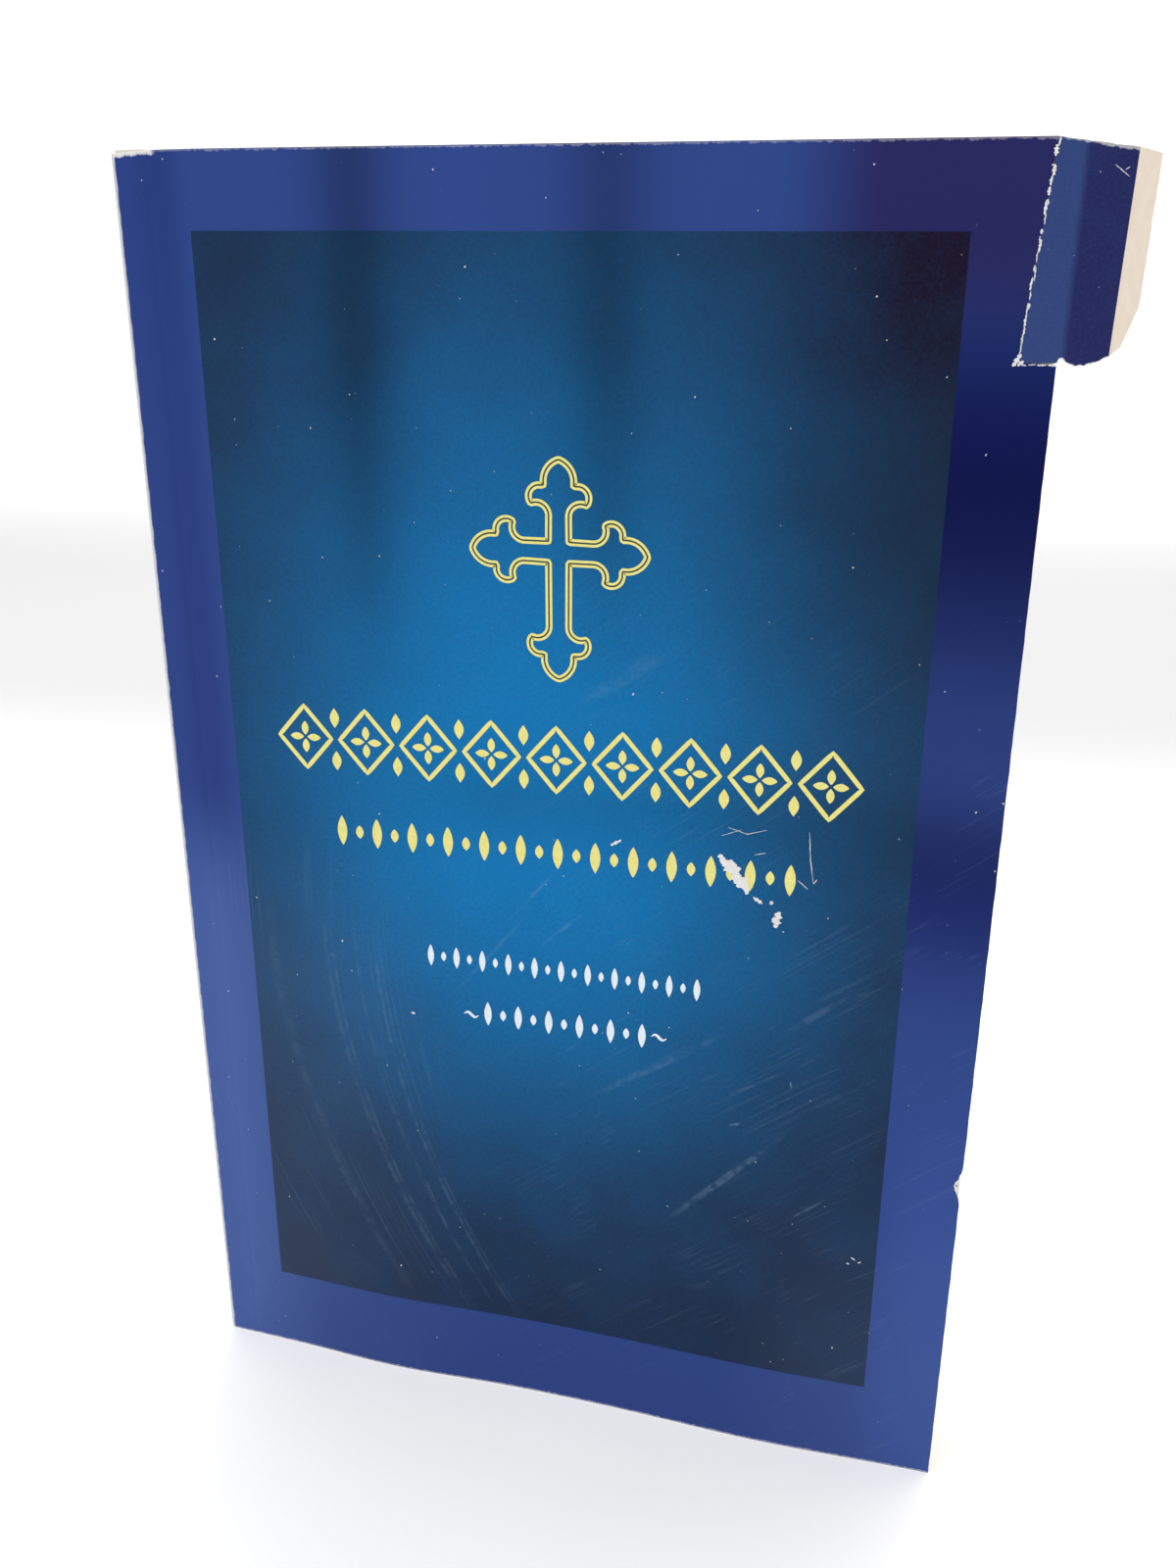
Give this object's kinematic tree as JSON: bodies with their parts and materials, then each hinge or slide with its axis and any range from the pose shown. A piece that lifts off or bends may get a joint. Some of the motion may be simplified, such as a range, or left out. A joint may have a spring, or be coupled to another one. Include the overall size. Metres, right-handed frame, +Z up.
{
  "type": "paperback devotional book",
  "caption": "Upright paperback scripture volume: card cover scored to open both ways, leaves that fan from a glued spine, and a creased corner flap.",
  "frame": {"origin": "middle of the footprint at the tail edge, on the surface the book stands on (the box counts the corner that stands past the fore-edge)", "axes": "+Z up the page from tail to head, -Y out of the front cover, spine at -X and fore-edge at +X"},
  "size_m": [0.1464, 0.016, 0.2159],
  "materials": {
    "printed_card": "gloss laminated print on coated card, scuffed",
    "page": "uncoated cream book paper",
    "hot_melt": "dull hardened hot-melt adhesive"
  },
  "bodies": {
    "spine": {"spine_wrap": "printed_card", "spine_glue": "hot_melt", "front_side_glue": "hot_melt", "back_side_glue": "hot_melt", "leaf_roots": "page"},
    "front_cover": {"front_cover": "printed_card"},
    "corner_flap": {"corner_flap": "printed_card"},
    "back_cover": {"back_cover": "printed_card"},
    "signature_01": {"signature_01": "page"},
    "signature_02": {"signature_02": "page"},
    "signature_03": {"signature_03": "page"},
    "signature_04": {"signature_04": "page"},
    "signature_05": {"signature_05": "page"},
    "signature_06": {"signature_06": "page"},
    "signature_07": {"signature_07": "page"},
    "signature_08": {"signature_08": "page"},
    "signature_09": {"signature_09": "page"},
    "signature_10": {"signature_10": "page"},
    "signature_11": {"signature_11": "page"},
    "signature_12": {"signature_12": "page"},
    "signature_13": {"signature_13": "page"},
    "signature_14": {"signature_14": "page"},
    "signature_15": {"signature_15": "page"},
    "signature_16": {"signature_16": "page"},
    "signature_17": {"signature_17": "page"},
    "signature_18": {"signature_18": "page"},
    "signature_19": {"signature_19": "page"},
    "signature_20": {"signature_20": "page"},
    "signature_21": {"signature_21": "page"},
    "signature_22": {"signature_22": "page"},
    "signature_23": {"signature_23": "page"},
    "signature_24": {"signature_24": "page"}
  },
  "joints": [
    {"name": "front_cover_hinge", "type": "hinge", "parent": "spine", "child": "front_cover", "pos_m": [-0.06715, -0.0081, 0], "axis": [0, 0, -1], "range_deg": [0, 178]},
    {"name": "back_cover_hinge", "type": "hinge", "parent": "spine", "child": "back_cover", "pos_m": [-0.06715, 0.0081, 0], "axis": [0, 0, 1], "range_deg": [0, 178]},
    {"name": "corner_fold", "type": "hinge", "parent": "front_cover", "child": "corner_flap", "pos_m": [0.05845, -0.0081, 0.1887], "axis": [-0.077, 0, -0.997], "range_deg": [0, 165]},
    {"name": "signature_01_turn", "type": "hinge", "parent": "spine", "child": "signature_01", "pos_m": [-0.06565, -0.0069, 0], "axis": [0, 0, -1], "range_deg": [0, 80.4]},
    {"name": "signature_02_turn", "type": "hinge", "parent": "spine", "child": "signature_02", "pos_m": [-0.06478, -0.0063, 0], "axis": [0, 0, -1], "range_deg": [0, 73.55]},
    {"name": "signature_03_turn", "type": "hinge", "parent": "spine", "child": "signature_03", "pos_m": [-0.06391, -0.0057, 0], "axis": [0, 0, -1], "range_deg": [0, 66.69]},
    {"name": "signature_04_turn", "type": "hinge", "parent": "spine", "child": "signature_04", "pos_m": [-0.06304, -0.0051, 0], "axis": [0, 0, -1], "range_deg": [0, 59.84]},
    {"name": "signature_05_turn", "type": "hinge", "parent": "spine", "child": "signature_05", "pos_m": [-0.06217, -0.0045, 0], "axis": [0, 0, -1], "range_deg": [0, 52.99]},
    {"name": "signature_06_turn", "type": "hinge", "parent": "spine", "child": "signature_06", "pos_m": [-0.0613, -0.0039, 0], "axis": [0, 0, -1], "range_deg": [0, 46.13]},
    {"name": "signature_07_turn", "type": "hinge", "parent": "spine", "child": "signature_07", "pos_m": [-0.06043, -0.0033, 0], "axis": [0, 0, -1], "range_deg": [0, 39.28]},
    {"name": "signature_08_turn", "type": "hinge", "parent": "spine", "child": "signature_08", "pos_m": [-0.05956, -0.0027, 0], "axis": [0, 0, -1], "range_deg": [0, 32.43]},
    {"name": "signature_09_turn", "type": "hinge", "parent": "spine", "child": "signature_09", "pos_m": [-0.05869, -0.0021, 0], "axis": [0, 0, -1], "range_deg": [0, 25.58]},
    {"name": "signature_10_turn", "type": "hinge", "parent": "spine", "child": "signature_10", "pos_m": [-0.05782, -0.0015, 0], "axis": [0, 0, -1], "range_deg": [0, 18.72]},
    {"name": "signature_11_turn", "type": "hinge", "parent": "spine", "child": "signature_11", "pos_m": [-0.05695, -0.0009, 0], "axis": [0, 0, -1], "range_deg": [0, 11.87]},
    {"name": "signature_12_turn", "type": "hinge", "parent": "spine", "child": "signature_12", "pos_m": [-0.05608, -0.0003, 0], "axis": [0, 0, -1], "range_deg": [0, 5.02]},
    {"name": "signature_13_turn", "type": "hinge", "parent": "spine", "child": "signature_13", "pos_m": [-0.05608, 0.0003, 0], "axis": [0, 0, 1], "range_deg": [0, 5.02]},
    {"name": "signature_14_turn", "type": "hinge", "parent": "spine", "child": "signature_14", "pos_m": [-0.05695, 0.0009, 0], "axis": [0, 0, 1], "range_deg": [0, 11.87]},
    {"name": "signature_15_turn", "type": "hinge", "parent": "spine", "child": "signature_15", "pos_m": [-0.05782, 0.0015, 0], "axis": [0, 0, 1], "range_deg": [0, 18.72]},
    {"name": "signature_16_turn", "type": "hinge", "parent": "spine", "child": "signature_16", "pos_m": [-0.05869, 0.0021, 0], "axis": [0, 0, 1], "range_deg": [0, 25.58]},
    {"name": "signature_17_turn", "type": "hinge", "parent": "spine", "child": "signature_17", "pos_m": [-0.05956, 0.0027, 0], "axis": [0, 0, 1], "range_deg": [0, 32.43]},
    {"name": "signature_18_turn", "type": "hinge", "parent": "spine", "child": "signature_18", "pos_m": [-0.06043, 0.0033, 0], "axis": [0, 0, 1], "range_deg": [0, 39.28]},
    {"name": "signature_19_turn", "type": "hinge", "parent": "spine", "child": "signature_19", "pos_m": [-0.0613, 0.0039, 0], "axis": [0, 0, 1], "range_deg": [0, 46.13]},
    {"name": "signature_20_turn", "type": "hinge", "parent": "spine", "child": "signature_20", "pos_m": [-0.06217, 0.0045, 0], "axis": [0, 0, 1], "range_deg": [0, 52.99]},
    {"name": "signature_21_turn", "type": "hinge", "parent": "spine", "child": "signature_21", "pos_m": [-0.06304, 0.0051, 0], "axis": [0, 0, 1], "range_deg": [0, 59.84]},
    {"name": "signature_22_turn", "type": "hinge", "parent": "spine", "child": "signature_22", "pos_m": [-0.06391, 0.0057, 0], "axis": [0, 0, 1], "range_deg": [0, 66.69]},
    {"name": "signature_23_turn", "type": "hinge", "parent": "spine", "child": "signature_23", "pos_m": [-0.06478, 0.0063, 0], "axis": [0, 0, 1], "range_deg": [0, 73.55]},
    {"name": "signature_24_turn", "type": "hinge", "parent": "spine", "child": "signature_24", "pos_m": [-0.06565, 0.0069, 0], "axis": [0, 0, 1], "range_deg": [0, 80.4]}
  ],
  "couplings": [
    {"joint": "signature_01_turn", "follows": "front_cover_hinge", "ratio": 0.45},
    {"joint": "signature_02_turn", "follows": "front_cover_hinge", "ratio": 0.4115},
    {"joint": "signature_03_turn", "follows": "front_cover_hinge", "ratio": 0.373},
    {"joint": "signature_04_turn", "follows": "front_cover_hinge", "ratio": 0.3345},
    {"joint": "signature_05_turn", "follows": "front_cover_hinge", "ratio": 0.296},
    {"joint": "signature_06_turn", "follows": "front_cover_hinge", "ratio": 0.2575},
    {"joint": "signature_07_turn", "follows": "front_cover_hinge", "ratio": 0.219},
    {"joint": "signature_08_turn", "follows": "front_cover_hinge", "ratio": 0.1805},
    {"joint": "signature_09_turn", "follows": "front_cover_hinge", "ratio": 0.142},
    {"joint": "signature_10_turn", "follows": "front_cover_hinge", "ratio": 0.1035},
    {"joint": "signature_11_turn", "follows": "front_cover_hinge", "ratio": 0.065},
    {"joint": "signature_12_turn", "follows": "front_cover_hinge", "ratio": 0.0265},
    {"joint": "signature_13_turn", "follows": "back_cover_hinge", "ratio": 0.0265},
    {"joint": "signature_14_turn", "follows": "back_cover_hinge", "ratio": 0.065},
    {"joint": "signature_15_turn", "follows": "back_cover_hinge", "ratio": 0.1035},
    {"joint": "signature_16_turn", "follows": "back_cover_hinge", "ratio": 0.142},
    {"joint": "signature_17_turn", "follows": "back_cover_hinge", "ratio": 0.1805},
    {"joint": "signature_18_turn", "follows": "back_cover_hinge", "ratio": 0.219},
    {"joint": "signature_19_turn", "follows": "back_cover_hinge", "ratio": 0.2575},
    {"joint": "signature_20_turn", "follows": "back_cover_hinge", "ratio": 0.296},
    {"joint": "signature_21_turn", "follows": "back_cover_hinge", "ratio": 0.3345},
    {"joint": "signature_22_turn", "follows": "back_cover_hinge", "ratio": 0.373},
    {"joint": "signature_23_turn", "follows": "back_cover_hinge", "ratio": 0.4115},
    {"joint": "signature_24_turn", "follows": "back_cover_hinge", "ratio": 0.45}
  ]
}
